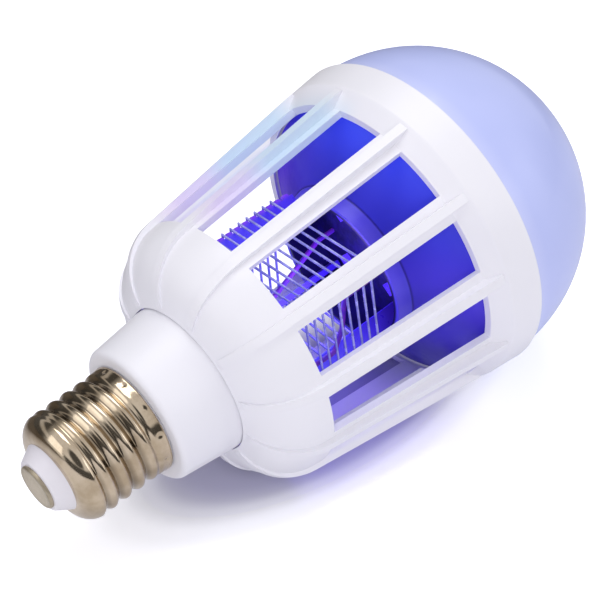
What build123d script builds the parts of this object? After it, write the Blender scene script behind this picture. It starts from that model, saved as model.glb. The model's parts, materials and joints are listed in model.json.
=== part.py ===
from build123d import *
from math import atan2, cos, hypot, radians, sin, tan
import os

os.makedirs("parts", exist_ok=True)

# Insect killer lamp: a screw-cap bulb with a white cage round an electric grid,
# ultraviolet lamps that draw insects in, and a milky dome with white lamps behind it.
# All sizes are in millimetres. Heights run along the lamp's own axis, from the
# centre contact at 0 towards the dome, and radii are taken from that axis.
# The lamp lies on its side, as it comes to rest: on the cage's ring and on two ribs.

# Screw cap: standard 27 mm sheet shell with its insulator and contact
cap_crest_r = 13.15
cap_sheet = 0.4
cap_front_z = 5.6
cap_rim_z = 26.5
cap_lip = 3.95
cap_shoulder = 3.0
cap_flare_length = 1.9
cap_rim_flare = 0.2
contact_margin = 0.9
contact_t = 0.8
contact_round = 0.5
contact_stem_r = 1.4
contact_stem_reach = 1.0
insulator_taper = 3.0
insulator_round = 0.4
insulator_flange = 0.7
insulator_flange_t = 2.6

# Neck: tapered housing that carries the cap and holds the driver
neck_front_r = 16.8
neck_flare = 1.5
neck_step = 0.4
neck_floor = 1.9
neck_reach = 8.2
neck_round = 1.6
neck_wall = 1.8
spigot_gap = 1.2
spigot_wall = 1.4
neck_boss_r = 2.4
neck_boss_length = 12.0

# Cage: cup, ribs and ring in one moulding
cage_wall = 1.7
cup_front_z = 41.8
cup_corner_r = 31.0
cup_rise = 3.6
cup_round = 13.5
window_start_z = 56.0
window_end_z = 99.5
window_angle = 20.0
ring_end_r = 41.1
ring_flare = 0.9
ring_step = 3.0
ring_rise = 4.4
ring_length = 8.1
ring_round = 1.5
rib_count = 12
fin_t = 2.2
fin_inset = 2.0
crest_setback = 0.2
crest_rise = 1.9
crest_proud = 0.8
crest_round = 15.0
crest_sink = 0.1
crest_end_gap = 0.9

# Twist lock between the cage and the reflector dish
lock_count = 3
lock_angle = 11.0
lock_depth = 5.4
lug_height = 1.6
hook_height = 1.8
lug_reach = 1.2
lug_gap = 0.4
lock_gap = 0.3
stop_angle = 2.0

# Reflector dish with its collar and skirt
dish_wall = 1.5
dish_depth = 12.4
dish_rim_gap = 1.1
dish_rim_step = 1.6
dish_rim_rise = 2.6
collar_front_r = 19.4
collar_draft = 0.9
collar_length = 3.6
well_depth = 8.8
well_rest = 2.8
well_ledge = 0.6
boss_count = 3
boss_r = 3.0
boss_start_angle = 60.0

# Lamp boards
plate_t = 1.6
plate_hole_r = 3.0
led_board_gap = 1.7
led_board_t = 1.2
led_size = 3.2
led_height = 0.8
led_ring_insets = (16.0, 6.0)
led_ring_counts = (8, 14)
uv_board_t = 1.2
uv_count = 4
uv_pitch_r = 10.5
uv_start_angle = 45.0
screw_r = 1.2
screw_head_r = 2.4
screw_head_t = 1.4
screw_depth = 4.0

# Dome
dome_step = 1.0
dome_straight = 0.8
dome_wall = 1.6
dome_lip = 3.4
dome_foot = 1.2
seam_gap = 0.3

# Grid former and its two wires
former_fin_count = 4
former_start_angle = 47.6
former_fin_t = 1.4
former_fin_inner_r = 13.4
former_edge_r = 20.9
former_base_t = 2.4
former_base_lip = 4.7
bump_gap = 0.72
wire_r = 0.3
wire_slack = 0.02
wire_spacing = 2.45
wire_count = 2
wire_start = 7.0
wire_end_gap = 1.0
fin_seat_gap = 0.1

# Driver
board_gap = 0.25
board_t = 1.2
board_inset = 3.2
board_setback = 3.0
capacitor_r = 4.0
capacitor_length = 12.0
transformer_size = (9.0, 8.0, 9.0)
film_size = (7.0, 3.0, 6.5)
diode_r = 0.9
diode_length = 4.6
diode_count = 4
diode_step = 3.2
film_count = 3
film_step = 8.0
part_side_y = 4.6
lead_r = 0.6
lead_spacing = 2.2
lead_hole_r = 1.2
lead_bend = 2.5
lead_routes = (
    ((0, 6, 55), (4.2, 7.2, 66), (3.7, 8.1, 74), (1.9, 10.1, 84), (0.4, 11.8, 92)),
    ((0, -6, 55), (6.3, -13.2, 67), (6.5, -13.4, 73), (4.3, -11, 78), (0.7, -7, 83)),
)
shell_lead_r = 0.45
shell_lead_inset = 2.0
shell_lead_bend = 1.5
fit_gap = 0.1

# Cap: the insulator fills the sheet's mouth, and the contact sits on the insulator
cap_mouth_r = cap_crest_r - cap_lip
cap_skirt_z = cap_rim_z - cap_flare_length
flange_z = cap_front_z + cap_sheet
insulator_tip_r = cap_mouth_r - insulator_taper
insulator_flange_r = cap_mouth_r + insulator_flange
insulator_back_z = flange_z + insulator_flange_t
contact_r = insulator_tip_r - contact_margin
contact_stem_z = insulator_back_z + contact_stem_reach

# Neck: its spigot fits the cap, and its bore takes the board and the screw bosses
neck_front_z = cap_rim_z + neck_step
neck_back_r = neck_front_r + neck_flare
neck_end_z = cup_front_z + neck_reach
neck_bore_r = neck_front_r - neck_wall
spigot_r = cap_crest_r - cap_sheet - fit_gap
spigot_bore_r = spigot_r - spigot_wall
spigot_front_z = insulator_back_z + spigot_gap
spigot_inner_end_z = neck_front_z + neck_floor
neck_corner_round = min(neck_round, neck_front_r - spigot_r - fit_gap)
boss_centre_r = neck_bore_r - neck_boss_r / 2

# Cage: the ribs stand proud of the cup and run out in the ring
hub_r = neck_back_r + lock_gap
cup_corner_z = cup_front_z + cup_rise
ring_edge_r = ring_end_r - ring_flare
ring_foot_r = ring_edge_r - ring_step
ring_edge_z = window_end_z + ring_rise
ring_end_z = ring_edge_z + ring_length
rib_step = 360 / rib_count
fin_start_r = hub_r + fin_inset
crest_start_z = cup_front_z + crest_setback
crest_corner_r = cup_corner_r + crest_proud
crest_corner_z = crest_start_z + crest_rise
crest_end_r = ring_edge_r - crest_sink
crest_end_z = ring_edge_z - crest_end_gap

# Dish: its skirt runs inside the ring with room for the lugs, and its rim closes the windows
lug_r = ring_edge_r - cage_wall - lug_gap
skirt_r = lug_r - lug_reach
skirt_bore_r = skirt_r - dish_wall
dish_rim_r = skirt_r - dish_rim_step
dish_rim_z = window_end_z + dish_rim_gap
skirt_foot_z = dish_rim_z + dish_rim_rise
collar_front_z = dish_rim_z - dish_depth
collar_foot_r = collar_front_r + collar_draft
collar_foot_z = collar_front_z + collar_length
well_r = collar_front_r - dish_wall
uv_board_z = collar_front_z + well_depth
well_end_z = uv_board_z + uv_board_t + well_rest
lock_z = ring_end_z - lock_depth
hook_inner_r = skirt_r + lock_gap
hook_mid_z = lock_z + lug_height + lock_gap + hook_height / 2

# Boards and dome: the dome's lip fits the skirt, and the white lamps stand inside the lip
lip_r = skirt_bore_r - fit_gap
lip_bore_r = lip_r - dome_wall
led_board_r = lip_bore_r - led_board_gap
boss_pitch_r = (collar_foot_r + lip_bore_r) / 2
plate_z = skirt_foot_z + dish_wall
plate_r = skirt_bore_r - fit_gap
uv_board_r = well_r + well_ledge - fit_gap
dome_r = ring_end_r - dome_step

# Grid: it stands on the neck's end and reaches into the well
base_top_z = neck_end_z + former_base_t
former_base_r = neck_back_r + former_base_lip
fin_end_z = collar_front_z - fin_seat_gap
fin_tab_r = well_r - fit_gap
fin_tab_z = uv_board_z - led_height - fit_gap
wire_first_z = base_top_z + wire_start
wire_rise = wire_spacing * wire_count / former_fin_count
wire_steps = int((collar_front_z - wire_end_gap - wire_first_z - wire_spacing) / wire_rise)
bump_total = int((fin_end_z - wire_first_z) / wire_spacing)

# Driver board: between the cap's insulator and the former, with its edges in the spigot's bore
board_half_width = spigot_bore_r - board_gap
board_front_z = spigot_front_z + board_inset
board_back_z = neck_end_z - board_setback
shell_lead_y = board_half_width - shell_lead_inset

# Resting place. Two ribs straddle the lowest line of the lamp, and the ring's front
# edge carries the rest, so the axis rises towards the dome by the angle between them.
crest_foot_angle = atan2(crest_corner_z - crest_start_z, crest_corner_r - fin_start_r)
crest_line_angle = atan2(crest_end_z - crest_corner_z, crest_end_r - crest_corner_r)
crest_half_turn = (crest_line_angle - crest_foot_angle) / 2
crest_toe = hypot(crest_corner_r - fin_start_r, crest_corner_z - crest_start_z)
crest_corner_round = min(crest_round, crest_toe / tan(crest_half_turn) - fit_gap)
crest_tangent = crest_corner_round * tan(crest_half_turn)
rib_touch_r = crest_corner_r + crest_tangent * cos(crest_line_angle)
rib_touch_z = crest_corner_z + crest_tangent * sin(crest_line_angle)
rib_half_step = radians(rib_step / 2)
rib_drop = rib_touch_r * cos(rib_half_step) + fin_t / 2 * sin(rib_half_step)
ring_foot_angle = atan2(ring_edge_r - ring_foot_r, ring_edge_z - window_end_z)
ring_line_angle = atan2(ring_end_r - ring_edge_r, ring_end_z - ring_edge_z)
ring_tangent = ring_round * tan((ring_foot_angle - ring_line_angle) / 2)
ring_touch_r = ring_edge_r + ring_tangent * sin(ring_line_angle)
ring_touch_z = ring_edge_z + ring_tangent * cos(ring_line_angle)
tilt = atan2(ring_touch_r - rib_drop, ring_touch_z - rib_touch_z)
dome_base_z = ring_end_z + seam_gap
dome_centre_z = dome_base_z + dome_straight
front_x = -(contact_r - contact_round) * sin(tilt) - contact_round * (1 - cos(tilt))
back_x = dome_centre_z * cos(tilt) + dome_r
tip_x = -(front_x + back_x) / 2
tip_z = ring_touch_r * cos(tilt) - ring_touch_z * sin(tilt)

# The lamp's own frame: x points down, y to the side and z along the axis
lamp = Plane(origin=(tip_x, 0, tip_z), x_dir=(sin(tilt), 0, -cos(tilt)), z_dir=(cos(tilt), 0, sin(tilt)))
lamp_axis = Axis(lamp.origin, lamp.z_dir)


def section(angle):
    """Half section at an angle round the axis: x is the radius and y the height."""
    radial = lamp.x_dir * cos(radians(angle)) + lamp.y_dir * sin(radians(angle))
    return Plane(lamp.origin, x_dir=radial, z_dir=radial.cross(lamp.z_dir))


def across(angle, height):
    """Plane across the axis at a height, turned round the axis by an angle."""
    radial = lamp.x_dir * cos(radians(angle)) + lamp.y_dir * sin(radians(angle))
    return Plane(lamp.from_local_coords((0, 0, height)), x_dir=radial, z_dir=lamp.z_dir)


def around(count, start):
    """Angles of a pattern of equal steps round the axis."""
    return [start + 360 * index / count for index in range(count)]


half_section = section(0)

# Centre contact: a flat disc with a stem that carries the live lead
with BuildPart() as centre_contact:
    with BuildSketch(half_section):
        with BuildLine():
            FilletPolyline(
                (0, 0),
                (contact_r, 0),
                (contact_r, contact_t),
                (contact_stem_r, contact_t),
                (contact_stem_r, contact_stem_z),
                (0, contact_stem_z),
                radius=(0, contact_round, 0, 0, 0, 0),
                close=True,
            )
        make_face()
    revolve(axis=lamp_axis)
centre_contact.part.label = "centre_contact"
export_step(centre_contact.part, "parts/centre_contact.step")

# Insulator: white cone in the mouth of the cap, with a flange behind the sheet
with BuildPart() as cap_insulator:
    with BuildSketch(half_section):
        with BuildLine():
            FilletPolyline(
                (contact_stem_r, contact_t),
                (insulator_tip_r, contact_t),
                (cap_mouth_r - fit_gap, cap_front_z),
                (cap_mouth_r - fit_gap, flange_z),
                (insulator_flange_r, flange_z),
                (insulator_flange_r, insulator_back_z),
                (contact_stem_r, insulator_back_z),
                radius=(0, insulator_round, 0, 0, 0, 0, 0),
                close=True,
            )
        make_face()
    revolve(axis=lamp_axis)
cap_insulator.part.label = "cap_insulator"
export_step(cap_insulator.part, "parts/cap_insulator.step")

# Screw shell: drawn sheet with a rounded shoulder and a slightly flared rim
with BuildPart() as screw_shell:
    with BuildSketch(half_section):
        with BuildLine():
            sheet = FilletPolyline(
                (cap_mouth_r, cap_front_z),
                (cap_crest_r, cap_front_z),
                (cap_crest_r, cap_skirt_z),
                (cap_crest_r + cap_rim_flare, cap_rim_z),
                radius=(cap_shoulder, cap_shoulder),
            )
            offset(sheet, amount=cap_sheet, side=Side.LEFT)
        make_face()
    revolve(axis=lamp_axis)
screw_shell.part.label = "screw_shell"
export_step(screw_shell.part, "parts/screw_shell.step")

# Neck housing: spigot inside the cap, tapered neck and two screw bosses
with BuildPart() as neck_housing:
    with BuildSketch(half_section):
        with BuildLine():
            FilletPolyline(
                (spigot_bore_r, spigot_front_z),
                (spigot_r, spigot_front_z),
                (spigot_r, neck_front_z),
                (neck_front_r, neck_front_z),
                (neck_back_r, cup_front_z),
                (neck_back_r, neck_end_z),
                (neck_bore_r, neck_end_z),
                (neck_bore_r, spigot_inner_end_z),
                (spigot_bore_r, spigot_inner_end_z),
                radius=(0, 0, 0, neck_corner_round, 0, 0, 0, 0, 0),
                close=True,
            )
        make_face()
    revolve(axis=lamp_axis)
    with BuildSketch(lamp.offset(neck_end_z)):
        with PolarLocations(boss_centre_r, 2):
            Circle(neck_boss_r)
    extrude(amount=-neck_boss_length)
    with BuildSketch(lamp.offset(neck_end_z)):
        with PolarLocations(boss_centre_r, 2):
            Circle(screw_r)
    extrude(amount=-neck_boss_length / 2, mode=Mode.SUBTRACT)
neck_housing.part.label = "neck_housing"
export_step(neck_housing.part, "parts/neck_housing.step")

# Cage: a shell of even wall with twelve windows, and a fin on each rib between them
window_half = radians(window_angle / 2)
window_reach = ring_end_r + cage_wall
rib_angles = around(rib_count, rib_step / 2)
lock_angles = around(lock_count, 0)
with BuildPart() as cage:
    with BuildSketch(half_section):
        with BuildLine():
            shell = FilletPolyline(
                (hub_r, cup_front_z),
                (cup_corner_r, cup_corner_z),
                (ring_foot_r, window_end_z),
                (ring_edge_r, ring_edge_z),
                (ring_end_r, ring_end_z),
                radius=(cup_round, 0, ring_round),
            )
            offset(shell, amount=cage_wall, side=Side.LEFT)
        make_face()
    revolve(axis=lamp_axis)
    with BuildSketch(lamp.offset(cup_front_z)):
        Circle(hub_r)
    extrude(amount=cup_corner_z - cup_front_z, mode=Mode.SUBTRACT)
    with BuildSketch(lamp.offset(window_start_z)):
        with PolarLocations(0, rib_count):
            Polygon(
                (neck_back_r, -neck_back_r * tan(window_half)),
                (window_reach, -window_reach * tan(window_half)),
                (window_reach, window_reach * tan(window_half)),
                (neck_back_r, neck_back_r * tan(window_half)),
                align=None,
            )
    extrude(amount=window_end_z - window_start_z, mode=Mode.SUBTRACT)
    with BuildSketch(*[section(angle) for angle in rib_angles]):
        with BuildLine():
            FilletPolyline(
                (hub_r, crest_start_z),
                (fin_start_r, crest_start_z),
                (crest_corner_r, crest_corner_z),
                (crest_end_r, crest_end_z),
                (hub_r, crest_end_z),
                radius=(0, 0, crest_corner_round, 0, 0),
                close=True,
            )
        make_face()
        with BuildLine():
            FilletPolyline(
                (0, cup_front_z + cage_wall / 2),
                (hub_r, cup_front_z + cage_wall / 2),
                (cup_corner_r - cage_wall / 2, cup_corner_z + cage_wall / 2),
                (ring_foot_r - cage_wall / 2, window_end_z + cage_wall / 2),
                (ring_edge_r - cage_wall / 2, ring_edge_z + cage_wall / 2),
                (0, ring_edge_z + cage_wall / 2),
                radius=(0, 0, cup_round, 0, 0, 0),
                close=True,
            )
        make_face(mode=Mode.SUBTRACT)
    extrude(amount=fin_t / 2, both=True)
    with BuildSketch(*[across(angle, hook_mid_z) for angle in lock_angles]):
        with BuildLine():
            inner = CenterArc((0, 0), hook_inner_r, -lock_angle / 2, lock_angle)
            outer = CenterArc((0, 0), ring_end_r - cage_wall / 2, -lock_angle / 2, lock_angle)
            Line(inner @ 0, outer @ 0)
            Line(inner @ 1, outer @ 1)
        make_face()
    extrude(amount=hook_height / 2, both=True)
cage.part.label = "cage"
export_step(cage.part, "parts/cage.step")

# Reflector dish: cone, collar round the well, skirt with lugs, and bosses for the boards
with BuildPart() as reflector_dish:
    with BuildSketch(half_section):
        with BuildLine():
            Polyline(
                (well_r, collar_front_z),
                (collar_front_r, collar_front_z),
                (collar_foot_r, collar_foot_z),
                (dish_rim_r, dish_rim_z),
                (skirt_r, skirt_foot_z),
                (skirt_r, dome_base_z),
                (skirt_bore_r, dome_base_z),
                (skirt_bore_r, plate_z),
                (dish_rim_r - dish_wall, plate_z),
                (dish_rim_r - dish_wall, dish_rim_z + dish_wall),
                (collar_foot_r + dish_wall, collar_foot_z + dish_wall * 2),
                (collar_foot_r, well_end_z),
                (well_r + well_ledge, well_end_z),
                (well_r + well_ledge, uv_board_z),
                (well_r, uv_board_z),
                close=True,
            )
        make_face()
    revolve(axis=lamp_axis)
    with BuildSketch(lamp.offset(plate_z)):
        with PolarLocations(boss_pitch_r, boss_count, start_angle=boss_start_angle):
            Circle(boss_r)
    extrude(until=Until.NEXT, dir=-lamp.z_dir)
    with BuildSketch(lamp.offset(plate_z)):
        with PolarLocations(boss_pitch_r, boss_count, start_angle=boss_start_angle):
            Circle(screw_r)
    extrude(amount=-screw_depth, mode=Mode.SUBTRACT)
    with BuildSketch(*[across(angle, lock_z) for angle in lock_angles]):
        with BuildLine():
            inner = CenterArc((0, 0), skirt_r - dish_wall / 2, -lock_angle / 2, lock_angle)
            outer = CenterArc((0, 0), lug_r, -lock_angle / 2, lock_angle)
            Line(inner @ 0, outer @ 0)
            Line(inner @ 1, outer @ 1)
        make_face()
    extrude(amount=lug_height)
    with BuildSketch(*[across(angle - lock_angle / 2 - stop_angle, lock_z) for angle in lock_angles]):
        with BuildLine():
            inner = CenterArc((0, 0), skirt_r - dish_wall / 2, -stop_angle / 2, stop_angle)
            outer = CenterArc((0, 0), lug_r, -stop_angle / 2, stop_angle)
            Line(inner @ 0, outer @ 0)
            Line(inner @ 1, outer @ 1)
        make_face()
    extrude(amount=lug_height + lock_gap + hook_height)
reflector_dish.part.label = "reflector_dish"
export_step(reflector_dish.part, "parts/reflector_dish.step")

# Grid former: base disc, and four fins with round bumps that space the wires
bump_r = (wire_spacing - bump_gap) / 2
half_bend = radians(180 / former_fin_count)
wire_lift = (wire_r + wire_slack) / cos(half_bend) + former_fin_t / 2 * tan(half_bend)
wire_edge_r = former_edge_r + wire_lift
fin_angles = around(former_fin_count, former_start_angle)
with BuildPart() as grid_former:
    with BuildSketch(lamp.offset(neck_end_z)):
        Circle(former_base_r)
    extrude(amount=former_base_t)
    for index, angle in enumerate(fin_angles):
        shift = wire_rise * index % wire_spacing
        with BuildSketch(section(angle)):
            with BuildLine():
                Polyline(
                    (former_fin_inner_r, base_top_z - former_base_t / 2),
                    (former_edge_r, base_top_z - former_base_t / 2),
                    (former_edge_r, fin_end_z),
                    (fin_tab_r, fin_end_z),
                    (fin_tab_r, fin_tab_z),
                    (former_fin_inner_r, fin_tab_z),
                    close=True,
                )
            make_face()
            bump_z = wire_first_z + shift - wire_spacing / 2
            with Locations(*[(former_edge_r, bump_z + wire_spacing * step) for step in range(bump_total + 1)]):
                Circle(bump_r)
        extrude(amount=former_fin_t / 2, both=True)
    with BuildSketch(lamp.offset(neck_end_z)):
        with PolarLocations(boss_centre_r, 2):
            Circle(screw_r + fit_gap)
        with Locations(*[route[0][:2] for route in lead_routes]):
            Circle(lead_hole_r)
    extrude(amount=former_base_t, mode=Mode.SUBTRACT)
grid_former.part.label = "grid_former"
export_step(grid_former.part, "parts/grid_former.step")


def wire_path(start):
    """Corner points of one wire, wound from fin to fin round the former."""
    corners = []
    for step in range(wire_steps + 1):
        angle = radians(former_start_angle + 360 * step / former_fin_count)
        height = start + wire_rise * step
        corners.append(lamp.from_local_coords((wire_edge_r * cos(angle), wire_edge_r * sin(angle), height)))
    return corners


# Live and return wires: a double helix of straight spans over the former's fins
with BuildPart() as grid_wire_live:
    with BuildLine() as live_route:
        Polyline(*wire_path(wire_first_z))
    with BuildSketch(Plane(live_route.line @ 0, z_dir=live_route.line % 0)):
        Circle(wire_r)
    sweep(path=live_route.line, transition=Transition.RIGHT)
grid_wire_live.part.label = "grid_wire_live"
export_step(grid_wire_live.part, "parts/grid_wire_live.step")

with BuildPart() as grid_wire_return:
    with BuildLine() as return_route:
        Polyline(*wire_path(wire_first_z + wire_spacing))
    with BuildSketch(Plane(return_route.line @ 0, z_dir=return_route.line % 0)):
        Circle(wire_r)
    sweep(path=return_route.line, transition=Transition.RIGHT)
grid_wire_return.part.label = "grid_wire_return"
export_step(grid_wire_return.part, "parts/grid_wire_return.step")

# Two screws that hold the former's base to the neck's bosses
with BuildPart() as former_screws:
    with BuildSketch(lamp.offset(base_top_z)):
        with PolarLocations(boss_centre_r, 2):
            Circle(screw_head_r)
    extrude(amount=screw_head_t)
    with BuildSketch(lamp.offset(base_top_z)):
        with PolarLocations(boss_centre_r, 2):
            Circle(screw_r)
    extrude(amount=-(former_base_t + screw_depth))
former_screws.part.label = "former_screws"
export_step(former_screws.part, "parts/former_screws.step")

# Ultraviolet board in the well, with its lamps facing the grid
with BuildPart() as uv_board:
    with BuildSketch(lamp.offset(uv_board_z)):
        Circle(uv_board_r)
    extrude(amount=uv_board_t)
uv_board.part.label = "uv_board"
export_step(uv_board.part, "parts/uv_board.step")

with BuildPart() as uv_leds:
    with BuildSketch(lamp.offset(uv_board_z)):
        with PolarLocations(uv_pitch_r, uv_count, start_angle=uv_start_angle):
            Rectangle(led_size, led_size)
    extrude(amount=-led_height)
uv_leds.part.label = "uv_leds"
export_step(uv_leds.part, "parts/uv_leds.step")

# Heat plate: aluminium disc on the skirt's ledge and the bosses
with BuildPart() as heat_plate:
    with BuildSketch(lamp.offset(plate_z)):
        Circle(plate_r)
        Circle(plate_hole_r, mode=Mode.SUBTRACT)
        with PolarLocations(boss_pitch_r, boss_count, start_angle=boss_start_angle):
            Circle(screw_r + fit_gap, mode=Mode.SUBTRACT)
    extrude(amount=plate_t)
heat_plate.part.label = "heat_plate"
export_step(heat_plate.part, "parts/heat_plate.step")

# White lamp board with two rings of lamps that face the dome
led_board_z = plate_z + plate_t
led_top_z = led_board_z + led_board_t
with BuildPart() as led_board:
    with BuildSketch(lamp.offset(led_board_z)):
        Circle(led_board_r)
        with PolarLocations(boss_pitch_r, boss_count, start_angle=boss_start_angle):
            Circle(screw_r + fit_gap, mode=Mode.SUBTRACT)
    extrude(amount=led_board_t)
led_board.part.label = "led_board"
export_step(led_board.part, "parts/led_board.step")

with BuildPart() as white_leds:
    with BuildSketch(lamp.offset(led_top_z)):
        for ring_inset, ring_count in zip(led_ring_insets, led_ring_counts):
            with PolarLocations(boss_pitch_r - ring_inset, ring_count):
                Rectangle(led_size, led_size)
    extrude(amount=led_height)
white_leds.part.label = "white_leds"
export_step(white_leds.part, "parts/white_leds.step")

# Three screws that clamp the lamp board and the heat plate to the dish
with BuildPart() as board_screws:
    with BuildSketch(lamp.offset(led_top_z)):
        with PolarLocations(boss_pitch_r, boss_count, start_angle=boss_start_angle):
            Circle(screw_head_r)
    extrude(amount=screw_head_t)
    with BuildSketch(lamp.offset(led_top_z)):
        with PolarLocations(boss_pitch_r, boss_count, start_angle=boss_start_angle):
            Circle(screw_r)
    extrude(amount=-(led_board_t + plate_t + screw_depth))
board_screws.part.label = "board_screws"
export_step(board_screws.part, "parts/board_screws.step")

# Dome diffuser: blown milky shell with a foot on the skirt and a lip inside it
with BuildPart() as dome_diffuser:
    with BuildSketch(half_section):
        with Locations((0, dome_centre_z)):
            Circle(dome_r)
            Circle(dome_r - dome_wall, mode=Mode.SUBTRACT)
            Rectangle(dome_r, 2 * dome_r, align=(Align.MAX, Align.CENTER), mode=Mode.SUBTRACT)
            Rectangle(dome_r, dome_r, align=(Align.MIN, Align.MAX), mode=Mode.SUBTRACT)
        with BuildLine():
            Polyline(
                (lip_bore_r, dome_base_z - dome_lip),
                (lip_r, dome_base_z - dome_lip),
                (lip_r, dome_base_z),
                (dome_r, dome_base_z),
                (dome_r, dome_centre_z),
                (dome_r - dome_wall, dome_centre_z),
                (dome_r - dome_wall, dome_base_z + dome_foot),
                (lip_bore_r, dome_base_z + dome_foot),
                close=True,
            )
        make_face()
    revolve(axis=lamp_axis)
dome_diffuser.part.label = "dome_diffuser"
export_step(dome_diffuser.part, "parts/dome_diffuser.step")

# Driver board: stands along the axis, with its edges in the spigot's bore
board_plane = Plane(lamp.origin, x_dir=lamp.y_dir, z_dir=lamp.x_dir)
board_face = board_plane.offset(board_t / 2)
board_rear = board_plane.offset(-board_t / 2)
with BuildPart() as driver_board:
    with BuildSketch(board_plane):
        with Locations((0, (board_front_z + board_back_z) / 2)):
            Rectangle(2 * board_half_width, board_back_z - board_front_z)
    extrude(amount=board_t / 2, both=True)
driver_board.part.label = "driver_board"
export_step(driver_board.part, "parts/driver_board.step")

# Parts on the driver board: storage capacitor and transformer in the wide part of the neck
large_part_z = spigot_inner_end_z + fit_gap
with BuildPart() as storage_capacitor:
    with BuildSketch(lamp.offset(large_part_z)):
        with Locations((board_t / 2 + capacitor_r, -part_side_y)):
            Circle(capacitor_r)
    extrude(amount=capacitor_length)
storage_capacitor.part.label = "storage_capacitor"
export_step(storage_capacitor.part, "parts/storage_capacitor.step")

with BuildPart() as step_up_transformer:
    with BuildSketch(board_face):
        with Locations((part_side_y, large_part_z + transformer_size[2] / 2)):
            Rectangle(transformer_size[0], transformer_size[2])
    extrude(amount=transformer_size[1])
step_up_transformer.part.label = "step_up_transformer"
export_step(step_up_transformer.part, "parts/step_up_transformer.step")

# Film capacitors on the back of the board and diodes on its face, in the spigot
with BuildPart() as film_capacitors:
    with BuildSketch(board_rear):
        with Locations(*[(0, board_front_z + film_step * (row + 0.5)) for row in range(film_count)]):
            Rectangle(film_size[0], film_size[1])
    extrude(amount=-film_size[2])
film_capacitors.part.label = "film_capacitors"
export_step(film_capacitors.part, "parts/film_capacitors.step")

with BuildPart() as rectifier_diodes:
    with BuildSketch(half_section):
        with Locations(
            *[(board_t / 2 + diode_r, board_front_z + diode_step * (row + 0.5)) for row in range(diode_count)]
        ):
            Circle(diode_r)
    extrude(amount=diode_length / 2, both=True)
rectifier_diodes.part.label = "rectifier_diodes"
export_step(rectifier_diodes.part, "parts/rectifier_diodes.step")

# Leads of the cap: live from the contact's stem, and return from the shell
with BuildPart() as contact_lead:
    with BuildSketch(lamp.offset(contact_stem_z)):
        Circle(lead_r)
    extrude(amount=board_front_z - contact_stem_z)
contact_lead.part.label = "contact_lead"
export_step(contact_lead.part, "parts/contact_lead.step")

shell_lead_z = (insulator_back_z + spigot_front_z) / 2
with BuildPart() as shell_lead:
    with BuildLine() as shell_lead_route:
        FilletPolyline(
            lamp.from_local_coords((0, shell_lead_y, board_front_z)),
            lamp.from_local_coords((0, shell_lead_y, shell_lead_z)),
            lamp.from_local_coords((0, spigot_r, shell_lead_z)),
            radius=shell_lead_bend,
        )
    with BuildSketch(Plane(shell_lead_route.line @ 0, z_dir=shell_lead_route.line % 0)):
        Circle(shell_lead_r)
    sweep(path=shell_lead_route.line)
shell_lead.part.label = "shell_lead"
export_step(shell_lead.part, "parts/shell_lead.step")

# Loose leads from the driver through the grid to the ultraviolet board
with BuildPart() as lamp_leads:
    for route in lead_routes:
        points = [(*route[0][:2], board_back_z), *route, (*route[-1][:2], uv_board_z)]
        with BuildLine() as lead_line:
            FilletPolyline(*[lamp.from_local_coords(point) for point in points], radius=lead_bend)
        with BuildSketch(Plane(lead_line.line @ 0, z_dir=lead_line.line % 0)):
            Circle(lead_r)
        sweep(path=lead_line.line)
lamp_leads.part.label = "lamp_leads"
export_step(lamp_leads.part, "parts/lamp_leads.step")

# A pair of leads from the back of the ultraviolet board to the white lamps
uv_board_back_z = uv_board_z + uv_board_t
with BuildPart() as board_leads:
    with BuildSketch(lamp.offset(uv_board_back_z)):
        with Locations((0, -lead_spacing / 2), (0, lead_spacing / 2)):
            Circle(lead_r)
    extrude(amount=led_board_z - uv_board_back_z)
board_leads.part.label = "board_leads"
export_step(board_leads.part, "parts/board_leads.step")
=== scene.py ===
import json
import math
from collections import namedtuple

import bpy
from mathutils import Euler, Matrix, Vector


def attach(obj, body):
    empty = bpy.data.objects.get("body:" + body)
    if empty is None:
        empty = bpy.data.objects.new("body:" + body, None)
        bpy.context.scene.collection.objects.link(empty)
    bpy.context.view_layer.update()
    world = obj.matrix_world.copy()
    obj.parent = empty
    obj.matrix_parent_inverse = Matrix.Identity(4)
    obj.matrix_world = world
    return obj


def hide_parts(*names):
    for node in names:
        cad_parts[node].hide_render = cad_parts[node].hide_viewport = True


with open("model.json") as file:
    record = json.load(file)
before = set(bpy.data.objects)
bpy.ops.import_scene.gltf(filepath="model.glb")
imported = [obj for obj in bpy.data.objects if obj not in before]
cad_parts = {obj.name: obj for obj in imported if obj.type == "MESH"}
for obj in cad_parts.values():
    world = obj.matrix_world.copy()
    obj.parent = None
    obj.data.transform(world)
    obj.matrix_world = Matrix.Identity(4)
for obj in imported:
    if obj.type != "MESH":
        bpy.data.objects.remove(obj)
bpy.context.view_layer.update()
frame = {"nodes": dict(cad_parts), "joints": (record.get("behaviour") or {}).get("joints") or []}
nodes = frame["nodes"]

# The lamp's own frame, read from the twist joint: x points down, y to the side, z along the axis from the cap's tip.
# Heights and radii of the lamp are in millimetres in this frame; everything else is in metres.
LOCK_Z = 80.0
twist = frame["joints"][0]
AXIS = Vector(twist["axis"]).normalized()
SIDE = Vector((0, 1, 0))
DOWN = SIDE.cross(AXIS)
TIP = Vector(twist["pos_m"]) - LOCK_Z / 1000 * AXIS
LAMP = Matrix((DOWN, SIDE, AXIS)).transposed()

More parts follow.
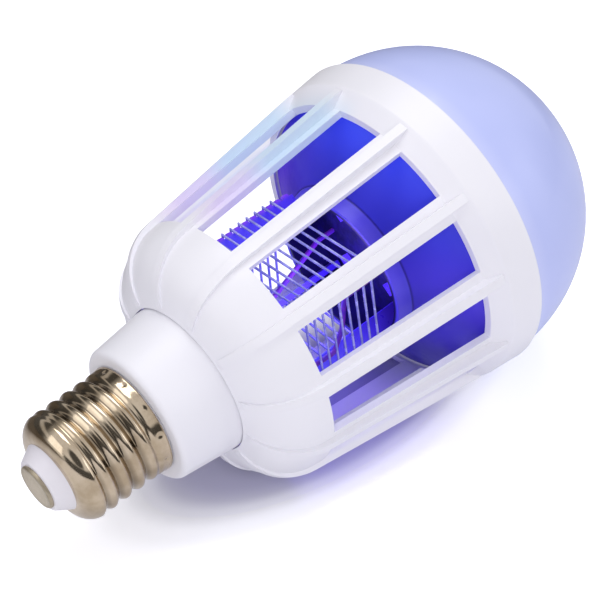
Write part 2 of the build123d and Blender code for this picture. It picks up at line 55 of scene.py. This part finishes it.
# Screw shell
PITCH = 3.629
THREAD_DEPTH = 1.1
THREAD_FRONT_Z, THREAD_FULL_Z, THREAD_LAST_Z, THREAD_BACK_Z = 7.8, 9.8, 22.2, 24.2
THREAD_START_Z = 8.4
ROOT_SHAPE = 1.15
CREST_R = 13.13
SHEET = 0.4
SHOULDER = 4.6
SHELL_FRONT_Z, MOUTH_R, RIM_Z = 4.3, 8.2, 26.5
FLARE, FLARE_Z = 0.2, 24.4
CRIMPS, CRIMP_Z, CRIMP_DEPTH, CRIMP_LENGTH = 12, 25.2, 0.2, 0.4
CRIMP_START, CRIMP_REACH = 0.3, 0.12  # first mark, as a share of the step between them; half the arc a mark takes
CRIMP_TURN = 0.45 / 13  # a mark's half width, seen from the axis

# Neck moulding
SPIGOT_R, SPIGOT_BORE_R, SPIGOT_Z = 11.5, 11.1, 9.8
SEAT_R, SEAT_FRONT_Z, SEAT_Z = 12.6, 24.2, 25.2
NECK_FRONT_R, NECK_BACK_R, NECK_BORE_R = 16.8, 18.3, 15.0
NECK_FRONT_Z, NECK_BORE_Z, NECK_BACK_Z, NECK_END_Z = 26.9, 28.8, 41.8, 50.0
NECK_ROUND = 1.6

# Where the materials change, from and to
CONTACT_R = (0.0, 5.3)
ROOT_R, ROOT_FRONT_Z, ROOT_BACK_Z = (11.7, 12.7), (7.2, 8.6), (24.2, 22.8)
FIN_Z, FIN_EDGE_R = (50.0, 96.0), (20.6, 21.7)
COLLAR_Z, COLLAR_STEP_Z = (88.0, 92.2), (91.8, 92.1)
WELL_EDGE_R, CONE_R, DISH_RIM_R = (18.3, 18.8), (20.6, 34.5), (35.2, 35.6)
DISH_DROP = (-36.0, 36.0)
WINDOW_Z, LIT_RIB_Z = (56.0, 104.0), (56.0, 64.0)
LIT_RIB_FIRST, LIT_RIB_LAST = (1.8, 2.2), (3.12, 3.0)
DOME_Z = (112.0, 152.0)
GLOW_Z = 84.0  # the small lamp that stands for the glow in the well


def place(radius, angle, height):
    """A point given by its radius, angle and height along the lamp's axis, in millimetres and radians."""
    local = Vector((radius * math.cos(angle), radius * math.sin(angle), height)) / 1000
    return TIP + LAMP @ local


# ---------------------------------------------------------------- materials

Coords = namedtuple("Coords", "vector x y z radius angle")


def srgb(red, green, blue):
    """A colour given as it looks on screen, 0 to 255."""
    out = []
    for channel in (red, green, blue):
        c = channel / 255
        out.append(c / 12.92 if c <= 0.04045 else ((c + 0.055) / 1.055) ** 2.4)
    return tuple(out)


def grey(level):
    """A grey of the given strength, for ramps that carry a factor."""
    return (level, level, level)


class Shader:
    """A small helper that keeps a material's node code short."""

    def __init__(self, name):
        self.material = bpy.data.materials.new(name)
        self.material.use_nodes = True
        self.tree = self.material.node_tree
        self.bsdf = self.tree.nodes["Principled BSDF"]

    def node(self, kind, **values):
        made = self.tree.nodes.new(kind)
        for key, value in values.items():
            setattr(made, key, value)
        return made

    def join(self, out, into):
        self.tree.links.new(out, into)

    def feed(self, out, *names):
        """Joins an output to the named inputs of the shader."""
        for name in names:
            self.join(out, self.bsdf.inputs[name])

    def set(self, **values):
        for key, value in values.items():
            self.bsdf.inputs[key.replace("_", " ")].default_value = value

    def calc(self, operation, a, b=None, clamp=False):
        made = self.node("ShaderNodeMath", operation=operation, use_clamp=clamp)
        for index, value in enumerate((a, b)):
            if value is None:
                continue
            if isinstance(value, (int, float)):
                made.inputs[index].default_value = value
            else:
                self.join(value, made.inputs[index])
        return made.outputs[0]

    def times(self, a, b, clamp=False):
        return self.calc("MULTIPLY", a, b, clamp)

    def length(self, a, b):
        return self.calc("SQRT", self.calc("ADD", self.times(a, a), self.times(b, b)))

    def lamp_coords(self):
        """Position in the lamp's own frame, in millimetres, with radius and angle."""
        coords = self.node("ShaderNodeTexCoord")
        mapping = self.node("ShaderNodeMapping", vector_type="POINT")
        turn = LAMP.transposed()
        mapping.inputs["Rotation"].default_value = turn.to_euler("XYZ")
        mapping.inputs["Location"].default_value = -(turn @ TIP) * 1000
        mapping.inputs["Scale"].default_value = (1000, 1000, 1000)
        self.join(coords.outputs["Object"], mapping.inputs["Vector"])
        apart = self.node("ShaderNodeSeparateXYZ")
        self.join(mapping.outputs[0], apart.inputs[0])
        x, y, z = apart.outputs
        return Coords(mapping.outputs[0], x, y, z, self.length(x, y), self.calc("ARCTAN2", y, x))

    def noise(self, vector, scale, detail):
        made = self.node("ShaderNodeTexNoise")
        made.inputs["Scale"].default_value = scale
        made.inputs["Detail"].default_value = detail
        made.inputs["Roughness"].default_value = 0.55
        self.join(vector, made.inputs["Vector"])
        return made.outputs["Fac"]

    def ramp(self, factor, *stops):
        """A colour ramp through stops of (position, colour)."""
        made = self.node("ShaderNodeValToRGB")
        made.color_ramp.interpolation = "EASE"
        elements = made.color_ramp.elements
        while len(elements) < len(stops):
            elements.new(0.5)
        for element, (position, colour) in zip(elements, stops):
            element.position = position
            element.color = (*colour, 1)
        self.join(factor, made.inputs["Fac"])
        return made.outputs["Color"]

    def remap(self, value, low, high, to_low=0.0, to_high=1.0):
        made = self.node("ShaderNodeMapRange")
        for key, number in zip(("From Min", "From Max", "To Min", "To Max"), (low, high, to_low, to_high)):
            made.inputs[key].default_value = number
        self.join(value, made.inputs["Value"])
        return made.outputs["Result"]

    def mix(self, factor, a, b):
        made = self.node("ShaderNodeMix", data_type="RGBA")
        colour_inputs = [socket for socket in made.inputs if socket.type == "RGBA"]
        if isinstance(factor, (int, float)):
            made.inputs["Factor"].default_value = factor
        else:
            self.join(factor, made.inputs["Factor"])
        for socket, value in zip(colour_inputs, (a, b)):
            if isinstance(value, tuple):
                socket.default_value = (*value, 1)
            else:
                self.join(value, socket)
        return [socket for socket in made.outputs if socket.type == "RGBA"][0]

    def uneven_gloss(self, pattern, smooth, rough):
        """Roughness that wanders with a noise pattern."""
        self.feed(self.remap(pattern, 0.3, 0.7, smooth, rough), "Roughness")

    def bump(self, height, strength, distance):
        made = self.node("ShaderNodeBump")
        made.inputs["Strength"].default_value = strength
        made.inputs["Distance"].default_value = distance
        self.join(height, made.inputs["Height"])
        self.feed(made.outputs[0], "Normal")


def moulded_plastic(name, colour, shade, roughness, spilt_light=False):
    """Moulded plastic, clouded a little in tone and gloss; two ribs may have the coloured light out of the lamp painted
    on them.
    """
    s = Shader(name)
    at = s.lamp_coords()
    body = s.ramp(s.noise(at.vector, 0.03, 2.0), (0.3, shade), (0.7, colour))
    if spilt_light:
        # Painted light: the dish's coloured light on the two ribs beside it is painted into the base colour.
        two_ribs = s.times(s.remap(at.angle, *LIT_RIB_LAST), s.remap(at.z, *LIT_RIB_Z))
        spill = s.times(s.remap(at.angle, *LIT_RIB_FIRST), two_ribs)
        tint = s.ramp(
            s.remap(at.z, *WINDOW_Z),
            (0.0, srgb(226, 200, 246)), (0.3, srgb(214, 200, 248)), (0.5, srgb(176, 214, 246)),
            (0.8, srgb(186, 222, 246)), (1.0, shade))
        body = s.mix(s.times(spill, 0.55), body, tint)
    s.feed(body, "Base Color")
    s.uneven_gloss(s.noise(at.vector, 0.06, 2.0), roughness - 0.03, roughness + 0.04)
    return s


def milky_dome():
    """Milky, slightly blue plastic with a little light let through, and a pale painted reflection at its edge by the
    ring.
    """
    s = Shader("milky_dome")
    at = s.lamp_coords()
    cloud = s.noise(at.vector, 0.03, 3.0)
    milk = s.ramp(cloud, (0.3, srgb(182, 191, 238)), (0.7, srgb(189, 197, 242)))
    # Painted reflection: a pale band on the dome next to the ring.
    edge = s.ramp(s.remap(at.z, *DOME_Z), (0.0, grey(0.55)), (0.12, grey(0.0)))
    s.feed(s.mix(edge, milk, srgb(208, 212, 247)), "Base Color")
    s.uneven_gloss(cloud, 0.42, 0.48)
    s.set(Coat_Weight=0.3, Coat_Roughness=0.09, Specular_IOR_Level=0.35,
          Emission_Color=(0.3, 0.38, 1.0, 1), Emission_Strength=0.07)
    return s


def lit_dish():
    """White moulding with the ultraviolet light painted into its colour and a painted glow: blue above, violet below,
    painted shade towards and in the well and at the collar's step, white at the rim.
    """
    s = Shader("lit_dish")
    at = s.lamp_coords()
    # Painted light: the ultraviolet light's colour on the dish, blue above, deeper violet below and purple to one side.
    outer = s.ramp(
        s.remap(at.x, *DISH_DROP),
        (0.00, srgb(62, 80, 240)), (0.22, srgb(58, 60, 204)), (0.42, srgb(74, 58, 208)),
        (0.60, srgb(62, 48, 184)), (0.80, srgb(46, 36, 150)), (1.00, srgb(38, 30, 132)))
    purple = s.times(s.remap(at.y, 2.0, 26.0), s.remap(at.x, -30.0, -6.0))
    outer = s.mix(s.times(purple, 0.7), outer, srgb(98, 38, 222))
    # Painted shade: a darker copy of the lit colour, used towards the well.
    inner = s.mix(0.4, outer, srgb(30, 20, 120))
    cone = s.mix(s.ramp(s.remap(at.radius, *CONE_R), (0.0, grey(0.7)), (0.75, grey(0.0))), outer, inner)
    # The collar carries the painted light too, with painted shade in a dark band at its step.
    collar = s.ramp(
        s.remap(at.z, *COLLAR_Z),
        (0.0, srgb(92, 80, 212)), (0.82, srgb(76, 66, 200)), (0.93, srgb(34, 24, 110)), (1.0, srgb(60, 48, 170)))
    lit = s.mix(s.remap(at.z, *COLLAR_STEP_Z), collar, cone)
    # Painted shade: nearly black inside the well.
    lit = s.mix(s.remap(at.radius, *WELL_EDGE_R), srgb(10, 6, 48), lit)
    lit = s.mix(s.remap(at.radius, *DISH_RIM_R), lit, srgb(225, 223, 242))
    lit = s.mix(s.remap(s.noise(at.vector, 0.12, 4.0), 0.35, 0.65, 0.0, 0.05), lit, srgb(80, 70, 240))
    # The painted light is also given as a faint glow, though the dish is no lamp.
    s.feed(lit, "Base Color", "Emission Color")
    s.uneven_gloss(s.noise(at.vector, 0.4, 4.0), 0.34, 0.42)
    s.set(Emission_Strength=0.15, Specular_IOR_Level=0.3)
    return s


def lit_former():
    """White fins with violet light painted on them, darker towards the dish, more purple on the bumps of their edges,
    and a painted glow.
    """
    s = Shader("lit_former")
    at = s.lamp_coords()
    # Painted light: violet light on the white fins, darker towards the dish, more purple at their edges.
    flank = s.ramp(
        s.remap(at.z, *FIN_Z),
        (0.0, srgb(96, 92, 226)), (0.35, srgb(86, 74, 224)), (0.75, srgb(74, 52, 214)), (1.0, srgb(50, 26, 160)))
    s.feed(s.mix(s.remap(at.radius, *FIN_EDGE_R), flank, srgb(128, 62, 214)), "Base Color", "Emission Color")
    s.uneven_gloss(s.noise(at.vector, 0.5, 5.0), 0.25, 0.4)
    s.bump(s.noise(at.vector, 1.6, 3.0), 0.06, 0.0001)
    # The painted light also glows faintly, though the fins are no lamp.
    s.set(Emission_Strength=0.3, Coat_Weight=0.2)
    return s


def grid_wire():
    """Drawn wire, bright, with faint lengthwise streaks."""
    s = Shader("grid_wire")
    streak = s.noise(s.lamp_coords().vector, 0.35, 2.0)
    s.feed(s.ramp(streak, (0.3, srgb(150, 152, 216)), (0.7, srgb(196, 198, 244))), "Base Color")
    s.uneven_gloss(streak, 0.16, 0.32)
    s.set(Metallic=0.25)
    return s


def nickel_shell():
    """Nickel-plated sheet, warm in tone, with painted shade darkening the thread's roots."""
    s = Shader("nickel_shell")
    at = s.lamp_coords()
    tone = s.ramp(s.noise(at.vector, 0.16, 5.0), (0.32, srgb(176, 158, 132)), (0.68, srgb(204, 188, 164)))
    # Painted shade: the roots of the thread are darkened.
    in_root = s.calc("SUBTRACT", 1.0, s.remap(at.radius, *ROOT_R))
    in_thread = s.times(s.remap(at.z, *ROOT_FRONT_Z), s.remap(at.z, *ROOT_BACK_Z))
    painted_root_shade = s.times(in_root, in_thread, clamp=True)
    s.feed(s.mix(s.times(painted_root_shade, 0.75), tone, srgb(72, 58, 42)), "Base Color")
    s.uneven_gloss(s.noise(at.vector, 0.5, 6.0), 0.08, 0.16)
    s.bump(s.noise(at.vector, 0.9, 4.0), 0.05, 0.0002)
    s.set(Metallic=1.0)
    return s


def contact_metal():
    """Tin-lead disc, duller than the shell, with a worn ring."""
    s = Shader("contact_metal")
    at = s.lamp_coords()
    ring = s.ramp(
        s.remap(at.radius, *CONTACT_R),
        (0.0, srgb(188, 176, 154)), (0.7, srgb(180, 168, 146)), (0.92, srgb(150, 138, 116)), (1.0, srgb(172, 160, 138)))
    scuffs = s.remap(s.noise(at.vector, 0.6, 4.0), 0.35, 0.65, 0.0, 0.35)
    s.feed(s.mix(scuffs, ring, srgb(202, 192, 172)), "Base Color")
    s.uneven_gloss(s.noise(at.vector, 1.4, 6.0), 0.3, 0.5)
    s.bump(s.noise(at.vector, 0.7, 3.0), 0.06, 0.0002)
    s.set(Metallic=0.8)
    return s


def plain(name, light, dark, roughness, metallic=0.0, glow=0.0):
    """A material for the inner pieces: two tones of one colour, and uneven gloss."""
    s = Shader(name)
    at = s.lamp_coords()
    tone = s.ramp(s.noise(at.vector, 0.4, 4.0), (0.35, dark), (0.65, light))
    s.feed(tone, "Base Color")
    if glow:
        s.feed(tone, "Emission Color")
        s.set(Emission_Strength=glow)
    s.uneven_gloss(s.noise(at.vector, 1.0, 5.0), roughness - 0.08, roughness + 0.1)
    s.set(Metallic=metallic)
    return s


white = moulded_plastic("white_plastic", srgb(241, 240, 246), srgb(238, 237, 244), 0.42, spilt_light=True)
white.set(Coat_Weight=0.1, Coat_Roughness=0.2, Specular_IOR_Level=0.4)
nickel = nickel_shell()
wire = grid_wire()
screw_steel = plain("screw_steel", srgb(190, 190, 196), srgb(150, 150, 158), 0.3, metallic=1.0)
red_wire = plain("lead_sleeve", srgb(190, 40, 36), srgb(160, 28, 26), 0.35)

LOOKS = {
    "centre_contact": contact_metal(),
    "cap_insulator": moulded_plastic("white_insulator", srgb(232, 229, 234), srgb(226, 222, 230), 0.35),
    "screw_shell": nickel,
    "neck_housing": white,
    "cage": white,
    "reflector_dish": lit_dish(),
    "dome_diffuser": milky_dome(),
    "grid_former": lit_former(),
    "grid_wire_live": wire,
    "grid_wire_return": wire,
    "former_screws": screw_steel,
    # Painted shade and violet light: the board deep in the well is coloured dark indigo.
    "uv_board": plain("painted_shade_board", srgb(30, 20, 92), srgb(16, 10, 62), 0.45),
    "uv_leds": plain("uv_chip", srgb(96, 64, 214), srgb(76, 48, 190), 0.3, glow=0.35),
    "heat_plate": plain("plate_metal", srgb(206, 206, 210), srgb(178, 178, 184), 0.35, metallic=1.0),
    "led_board": plain("board_white", srgb(236, 236, 230), srgb(222, 222, 218), 0.4),
    "white_leds": plain("lamp_chip", srgb(246, 226, 120), srgb(232, 206, 90), 0.35),
    "board_screws": screw_steel,
    "driver_board": plain("board_green", srgb(44, 120, 66), srgb(28, 92, 50), 0.35),
    "storage_capacitor": plain("capacitor_sleeve", srgb(34, 34, 40), srgb(20, 20, 26), 0.3),
    "step_up_transformer": plain("winding_tape", srgb(214, 190, 84), srgb(196, 170, 66), 0.45),
    "film_capacitors": plain("dipped_film", srgb(176, 52, 34), srgb(150, 38, 26), 0.3),
    "rectifier_diodes": plain("diode_body", srgb(30, 30, 30), srgb(16, 16, 16), 0.4),
    "contact_lead": red_wire,
    "shell_lead": red_wire,
    # Painted light: the violet colour and faint glow of these leads stand for the ultraviolet light on them.
    "lamp_leads": plain("lit_lead_sleeve", srgb(132, 48, 168), srgb(96, 42, 172), 0.4, glow=0.1),
    "board_leads": red_wire,
}
for name, look in LOOKS.items():
    data = nodes[name].data
    data.materials.clear()
    data.materials.append(look.material)


# ---------------------------------------------------------------- pieces

SHARP_ANGLE = math.radians(50)


def smoothstep(low, high, value):
    t = min(1.0, max(0.0, (value - low) / (high - low)))
    return t * t * (3 - 2 * t)


def closed_lathe(name, profile, look, body, steps, radius_at=None):
    """Turns a closed profile of (radius, height) points round the axis into a piece that rides on a body."""
    points, faces = [], []
    count = len(profile)
    for step in range(steps):
        angle = 2 * math.pi * step / steps
        for radius, height in profile:
            points.append(place(radius_at(radius, height, angle) if radius_at else radius, angle, height))
        here, there = step * count, (step + 1) % steps * count
        for index in range(count):
            after = (index + 1) % count
            faces.append((here + index, there + index, there + after, here + after))
    data = bpy.data.meshes.new(name)
    data.from_pydata(points, [], faces)
    data.validate()
    data.update()
    data.materials.append(look.material)
    data.shade_smooth()
    data.set_sharp_from_angle(angle=SHARP_ANGLE)
    piece = bpy.data.objects.new(name, data)
    bpy.context.scene.collection.objects.link(piece)
    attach(piece, body)
    return piece


def quarter_round(radius, edge_r, front_z, steps):
    """Points of a rounded front edge, from its flat face out to the wall at edge_r."""
    turns = [math.pi / 2 * step / steps for step in range(steps + 1)]
    return [(edge_r - radius * (1 - math.sin(a)), front_z + radius * (1 - math.cos(a))) for a in turns]


def shell_profile():
    """The sheet of the screw shell: front lip, rounded shoulder, wall and flared rim, then the inside back again."""
    flat_steps, shoulder_steps, wall_step = 5, 12, 0.26
    last_ring_z, rim_front_z = RIM_Z - 0.35, RIM_Z - 0.2
    rim_edge = ((0.17, 0.06), (0.05, 0.0))  # the rounded edge of the rim: how far out, how far down
    shoulder_r = CREST_R - SHOULDER
    skin = [(MOUTH_R + (shoulder_r - MOUTH_R) * step / flat_steps, SHELL_FRONT_Z) for step in range(flat_steps)]
    skin += quarter_round(SHOULDER, CREST_R, SHELL_FRONT_Z, shoulder_steps)
    z = SHELL_FRONT_Z + SHOULDER
    while z < last_ring_z:
        z += wall_step
        skin.append((CREST_R + FLARE * smoothstep(FLARE_Z, RIM_Z, z), min(z, rim_front_z)))
    skin += [(CREST_R + out, RIM_Z - down) for out, down in rim_edge]
    inside = []
    for radius, height in reversed(skin[1:-len(rim_edge)]):
        on_front = height < SHELL_FRONT_Z + 0.5
        inside.append((radius - SHEET, height + SHEET if on_front else height))
    return skin + inside


def thread_radius(radius, height, angle):
    """Radius of the sheet at a point: the thread's wave, then the crimp marks on the skirt."""
    wave = 0.5 - 0.5 * math.cos(2 * math.pi * (height - THREAD_START_Z) / PITCH - angle)
    grown = smoothstep(THREAD_FRONT_Z, THREAD_FULL_Z, height)
    faded = smoothstep(THREAD_LAST_Z, THREAD_BACK_Z, height)
    r = radius - THREAD_DEPTH * wave ** ROOT_SHAPE * grown * (1 - faded)
    for mark in range(CRIMPS):
        turn = (angle - 2 * math.pi * (mark + CRIMP_START) / CRIMPS + math.pi) % (2 * math.pi) - math.pi
        if abs(turn) < CRIMP_REACH:
            r -= CRIMP_DEPTH * math.exp(-((turn / CRIMP_TURN) ** 2) - ((height - CRIMP_Z) / CRIMP_LENGTH) ** 2)
    return r


def neck_profile():
    """The neck moulding, with a spigot that is waisted behind the thread, where the cap's sheet is rolled into it."""
    corner_steps, wall_steps = 8, 6
    wall_front_z = NECK_FRONT_Z + NECK_ROUND
    points = [(SPIGOT_BORE_R, SPIGOT_Z), (SPIGOT_R, SPIGOT_Z), (SPIGOT_R, SEAT_FRONT_Z), (SEAT_R, SEAT_Z),
              (SEAT_R, NECK_FRONT_Z)]
    points += quarter_round(NECK_ROUND, NECK_FRONT_R, NECK_FRONT_Z, corner_steps)
    for step in range(1, wall_steps + 1):
        along = step / wall_steps
        points.append((NECK_FRONT_R + (NECK_BACK_R - NECK_FRONT_R) * along,
                       wall_front_z + (NECK_BACK_Z - wall_front_z) * along))
    points += [(NECK_BACK_R, NECK_END_Z), (NECK_BORE_R, NECK_END_Z), (NECK_BORE_R, NECK_BORE_Z),
               (SPIGOT_BORE_R, NECK_BORE_Z)]
    return points


shell = closed_lathe("thread_shell", shell_profile(), nickel, "lamp_body", steps=288, radius_at=thread_radius)
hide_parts("screw_shell")

neck = closed_lathe("neck_moulding", neck_profile(), white, "lamp_body", steps=192)
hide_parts("neck_housing")


# ---------------------------------------------------------------- stage, camera and light


def pale_floor():
    """A white floor with a soft shadow painted near the lamp, in its colour and in its glow to the camera, which grows
    paler away from it; in reflections the stretch behind the lamp is painted dark, as the far side of a studio is."""
    half = 3.0
    shade_middle_x, shade_half_x, shade_half_y = 0.003, 0.060, 0.028
    data = bpy.data.meshes.new("floor")
    data.from_pydata([(-half, -half, 0), (half, -half, 0), (half, half, 0), (-half, half, 0)], [], [(0, 1, 2, 3)])
    floor = bpy.data.objects.new("floor", data)
    bpy.context.scene.collection.objects.link(floor)
    s = Shader("pale_floor")
    path = s.node("ShaderNodeLightPath")
    where = s.node("ShaderNodeSeparateXYZ")
    s.join(s.node("ShaderNodeNewGeometry").outputs["Position"], where.inputs[0])
    x, y = where.outputs[0], where.outputs[1]
    across = s.calc("DIVIDE", s.calc("SUBTRACT", x, shade_middle_x), shade_half_x)
    near = s.length(across, s.calc("DIVIDE", y, shade_half_y))
    # Painted shadow: the floor's colour is darker and violet near the lamp.
    shade = s.ramp(s.remap(near, 0.6, 1.6), (0.0, (0.52, 0.51, 0.66)), (0.28, (0.86, 0.86, 0.9)))
    # Painted reflection: the floor behind the lamp is dark where reflections see it.
    behind = s.times(s.remap(y, 0.02, 0.1), path.outputs["Is Glossy Ray"])
    s.feed(s.mix(behind, shade, (0.14, 0.12, 0.10)), "Base Color")
    # Painted shadow: the glow to the camera is weak near the lamp and grows away from it.
    paler = s.ramp(
        s.remap(near, 0.6, 2.6),
        (0.05, grey(0.0)), (0.1, grey(0.12)), (0.175, grey(0.36)), (0.26, grey(0.5)), (1.0, grey(0.6)))
    glossy = s.times(s.calc("SUBTRACT", path.outputs["Is Glossy Ray"], behind), 0.1)
    s.feed(s.calc("ADD", s.times(path.outputs["Is Camera Ray"], paler), glossy), "Emission Strength")
    s.set(Roughness=0.7, Specular_IOR_Level=0.1, Emission_Color=(0.97, 0.97, 1, 1))
    data.materials.append(s.material)
    return floor


floor = pale_floor()

# The photograph's viewpoint: where the camera is, in metres, and how it is turned, in degrees
CAMERA_PLACE = (-0.2083500, -0.2319390, 0.2766727)
CAMERA_TURN = (52.16267, 0.11715, -41.91882)
camera_data = bpy.data.cameras.new("camera")
camera_data.lens = 103.228
camera_data.sensor_width = 36.0
camera_data.clip_start = 0.01
camera_data.clip_end = 20
camera = bpy.data.objects.new("camera", camera_data)
camera.location = CAMERA_PLACE
camera.rotation_euler = Euler([math.radians(angle) for angle in CAMERA_TURN])
bpy.context.scene.collection.objects.link(camera)
bpy.context.scene.camera = camera
bpy.context.scene.view_settings.view_transform = "Standard"


def studio():
    """The studio: white to the camera, plain and even for light. Reflections see a pale room with a dark back wall
    that has a lit strip in it, a dark skirting in front and a dark stand at the photographer's place."""
    world = bpy.data.worlds.new("studio")
    bpy.context.scene.world = world
    world.use_nodes = True
    tree = world.node_tree

    def node(kind, inputs, **values):
        made = tree.nodes.new(kind)
        for key, value in values.items():
            setattr(made, key, value)
        for key, value in inputs.items():
            if isinstance(value, bpy.types.NodeSocket):
                tree.links.new(value, made.inputs[key])
            else:
                made.inputs[key].default_value = value
        return made.outputs

    def remap(value, low, high, to_low=0.0, to_high=1.0):
        return node("ShaderNodeMapRange", {
            "Value": value, "From Min": low, "From Max": high, "To Min": to_low, "To Max": to_high})[0]

    def calc(operation, *values, clamp=False):
        return node("ShaderNodeMath", dict(enumerate(values)), operation=operation, use_clamp=clamp)[0]

    direction = node("ShaderNodeTexCoord", {})["Generated"]
    x, y, z = node("ShaderNodeSeparateXYZ", {0: direction})
    to_camera = camera.rotation_euler.to_matrix() @ Vector((0, 0, 1))
    facing = node("ShaderNodeVectorMath", {0: direction, 1: to_camera}, operation="DOT_PRODUCT")["Value"]
    strip_middle_z = 0.38
    strip = remap(calc("ABSOLUTE", calc("SUBTRACT", z, strip_middle_z)), 0.06, 0.14, 0.35, 1.0)
    wall = calc("MULTIPLY", remap(y, 0.42, 0.7), strip)
    low = calc("MAXIMUM", remap(z, 0.36, 0.26), remap(facing, 0.90, 0.955))
    dark = calc("MAXIMUM", wall, calc("MULTIPLY", low, remap(y, 0.1, -0.1)))
    reflected = remap(dark, 0.0, 1.0, 0.9, 0.1)
    path = node("ShaderNodeLightPath", {})
    seen = calc("ADD", path["Is Camera Ray"], path["Is Transmission Ray"], clamp=True)
    plain_room = remap(seen, 0.0, 1.0, 0.42, 1.0)
    strength = node("ShaderNodeMix", {0: path["Is Glossy Ray"], 2: plain_room, 3: reflected}, data_type="FLOAT")[0]
    background = tree.nodes["Background"]
    background.inputs["Color"].default_value = (0.96, 0.96, 1.0, 1)
    tree.links.new(strength, background.inputs["Strength"])


def add_light(name, kind, position, power, colour):
    data = bpy.data.lights.new(name, kind)
    data.energy = power
    data.color = colour
    light = bpy.data.objects.new(name, data)
    light.location = position
    bpy.context.scene.collection.objects.link(light)
    return light


def softbox(name, position, height_aimed, size, power, colour=(1, 1, 1), mirrored=True):
    """A rectangular light aimed at the lamp; where it isn't mirrored, shiny surfaces don't show it."""
    light = add_light(name, "AREA", position, power, colour)
    light.data.shape = "RECTANGLE"
    light.data.size, light.data.size_y = size
    light.rotation_euler = (Vector((0, 0, height_aimed)) - Vector(position)).to_track_quat("-Z", "Y").to_euler()
    light.visible_glossy = mirrored


studio()
softbox("key", (0.10, 0.16, 0.82), 0.03, (0.5, 0.5), 2.6)
softbox("camera_fill", (-0.55, -0.60, 0.50), 0.03, (0.8, 0.6), 3.2, (0.99, 0.98, 1.0), mirrored=False)
softbox("side_fill", (0.60, -0.60, 0.30), 0.04, (0.5, 0.5), 1.0, (0.97, 0.97, 1.0))
softbox("left_fill", (-0.85, 0.25, 0.40), 0.03, (0.5, 0.5), 0.8, (0.98, 0.98, 1.0))
well_glow = add_light("well_glow", "POINT", place(0, 0, GLOW_Z), 0.022, (0.32, 0.22, 1.0))
well_glow.data.shadow_soft_size = 0.010
